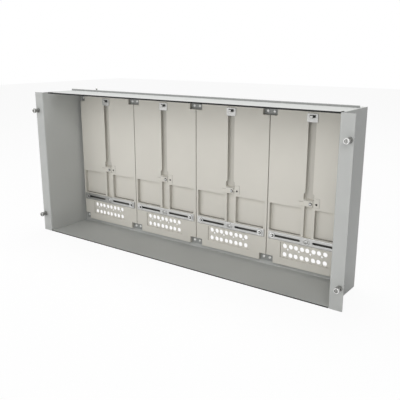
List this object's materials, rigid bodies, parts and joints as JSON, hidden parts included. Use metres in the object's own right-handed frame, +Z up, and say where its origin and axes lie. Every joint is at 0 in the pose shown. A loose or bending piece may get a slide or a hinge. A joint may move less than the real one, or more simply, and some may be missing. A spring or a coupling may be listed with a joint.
{
  "type": "electric meter box",
  "caption": "Open-front sheet-steel meter box with side flanges and captive screws, backed by a row of moulded meter boards with sliding hangers, slotted rails and cable holes.",
  "frame": {"origin": "under the middle of the overall box, on the plane that the bottom plate stands on", "axes": "+X along the width to the right as seen from the open front, +Y from the open front to the meter boards, +Z up"},
  "size_m": [0.9632, 0.1634, 0.426],
  "materials": {
    "case_paint": "light grey powder coat, fine texture",
    "board_plastic": "beige-grey moulded plastic, satin",
    "zinc_steel": "bright zinc plate",
    "captive_steel": "nickel-plated steel",
    "seal_rubber": "black rubber",
    "guide_plastic": "dark grey moulded plastic"
  },
  "bodies": {
    "case": {"left_side_panel": "case_paint", "right_side_panel": "case_paint", "top_plate": "case_paint", "bottom_plate": "case_paint", "edge_seals": "seal_rubber", "earth_stud": "zinc_steel", "board_clamps": "case_paint", "board_screws": "zinc_steel", "rail_centre_screws": "zinc_steel", "latch_screws": "zinc_steel", "captive_sleeves": "captive_steel", "meter_board_1": "board_plastic", "cable_entry_plate_1": "board_plastic", "latch_block_1": "board_plastic", "meter_rail_1": "zinc_steel", "meter_board_2": "board_plastic", "cable_entry_plate_2": "board_plastic", "latch_block_2": "board_plastic", "meter_rail_2": "zinc_steel", "meter_board_3": "board_plastic", "cable_entry_plate_3": "board_plastic", "latch_block_3": "board_plastic", "meter_rail_3": "zinc_steel", "meter_board_4": "board_plastic", "cable_entry_plate_4": "board_plastic", "latch_block_4": "board_plastic", "meter_rail_4": "zinc_steel"},
    "hanger_1": {"hanger_clip_1": "zinc_steel", "hanger_guide_1": "guide_plastic"},
    "rail_slider_left_1": {"rail_screw_left_1": "zinc_steel", "rail_nut_left_1": "zinc_steel"},
    "rail_slider_right_1": {"rail_screw_right_1": "zinc_steel", "rail_nut_right_1": "zinc_steel"},
    "hanger_2": {"hanger_clip_2": "zinc_steel", "hanger_guide_2": "guide_plastic"},
    "rail_slider_left_2": {"rail_screw_left_2": "zinc_steel", "rail_nut_left_2": "zinc_steel"},
    "rail_slider_right_2": {"rail_screw_right_2": "zinc_steel", "rail_nut_right_2": "zinc_steel"},
    "hanger_3": {"hanger_clip_3": "zinc_steel", "hanger_guide_3": "guide_plastic"},
    "rail_slider_left_3": {"rail_screw_left_3": "zinc_steel", "rail_nut_left_3": "zinc_steel"},
    "rail_slider_right_3": {"rail_screw_right_3": "zinc_steel", "rail_nut_right_3": "zinc_steel"},
    "hanger_4": {"hanger_clip_4": "zinc_steel", "hanger_guide_4": "guide_plastic"},
    "rail_slider_left_4": {"rail_screw_left_4": "zinc_steel", "rail_nut_left_4": "zinc_steel"},
    "rail_slider_right_4": {"rail_screw_right_4": "zinc_steel", "rail_nut_right_4": "zinc_steel"},
    "captive_left_bottom": {"captive_screw_left_bottom": "captive_steel", "captive_ring_left_bottom": "captive_steel"},
    "captive_left_top": {"captive_screw_left_top": "captive_steel", "captive_ring_left_top": "captive_steel"},
    "captive_right_bottom": {"captive_screw_right_bottom": "captive_steel", "captive_ring_right_bottom": "captive_steel"},
    "captive_right_top": {"captive_screw_right_top": "captive_steel", "captive_ring_right_top": "captive_steel"}
  },
  "joints": [
    {"name": "hanger_1_slide", "type": "slide", "parent": "case", "child": "hanger_1", "axis": [0, 0, 1], "range_m": [-0.17, 0.002]},
    {"name": "rail_slider_left_1_slide", "type": "slide", "parent": "case", "child": "rail_slider_left_1", "axis": [1, 0, 0], "range_m": [-0.004, 0.072]},
    {"name": "rail_slider_right_1_slide", "type": "slide", "parent": "case", "child": "rail_slider_right_1", "axis": [1, 0, 0], "range_m": [-0.072, 0.004]},
    {"name": "hanger_2_slide", "type": "slide", "parent": "case", "child": "hanger_2", "axis": [0, 0, 1], "range_m": [-0.17, 0.002]},
    {"name": "rail_slider_left_2_slide", "type": "slide", "parent": "case", "child": "rail_slider_left_2", "axis": [1, 0, 0], "range_m": [-0.004, 0.072]},
    {"name": "rail_slider_right_2_slide", "type": "slide", "parent": "case", "child": "rail_slider_right_2", "axis": [1, 0, 0], "range_m": [-0.072, 0.004]},
    {"name": "hanger_3_slide", "type": "slide", "parent": "case", "child": "hanger_3", "axis": [0, 0, 1], "range_m": [-0.17, 0.002]},
    {"name": "rail_slider_left_3_slide", "type": "slide", "parent": "case", "child": "rail_slider_left_3", "axis": [1, 0, 0], "range_m": [-0.004, 0.072]},
    {"name": "rail_slider_right_3_slide", "type": "slide", "parent": "case", "child": "rail_slider_right_3", "axis": [1, 0, 0], "range_m": [-0.072, 0.004]},
    {"name": "hanger_4_slide", "type": "slide", "parent": "case", "child": "hanger_4", "axis": [0, 0, 1], "range_m": [-0.17, 0.002]},
    {"name": "rail_slider_left_4_slide", "type": "slide", "parent": "case", "child": "rail_slider_left_4", "axis": [1, 0, 0], "range_m": [-0.004, 0.072]},
    {"name": "rail_slider_right_4_slide", "type": "slide", "parent": "case", "child": "rail_slider_right_4", "axis": [1, 0, 0], "range_m": [-0.072, 0.004]},
    {"name": "captive_left_bottom_turn", "type": "hinge", "parent": "case", "child": "captive_left_bottom", "pos_m": [-0.4725, -0.06425, 0.052], "axis": [0, 1, 0], "continuous": true},
    {"name": "captive_left_top_turn", "type": "hinge", "parent": "case", "child": "captive_left_top", "pos_m": [-0.4725, -0.06425, 0.364], "axis": [0, 1, 0], "continuous": true},
    {"name": "captive_right_bottom_turn", "type": "hinge", "parent": "case", "child": "captive_right_bottom", "pos_m": [0.4725, -0.06425, 0.052], "axis": [0, 1, 0], "continuous": true},
    {"name": "captive_right_top_turn", "type": "hinge", "parent": "case", "child": "captive_right_top", "pos_m": [0.4725, -0.06425, 0.364], "axis": [0, 1, 0], "continuous": true}
  ]
}
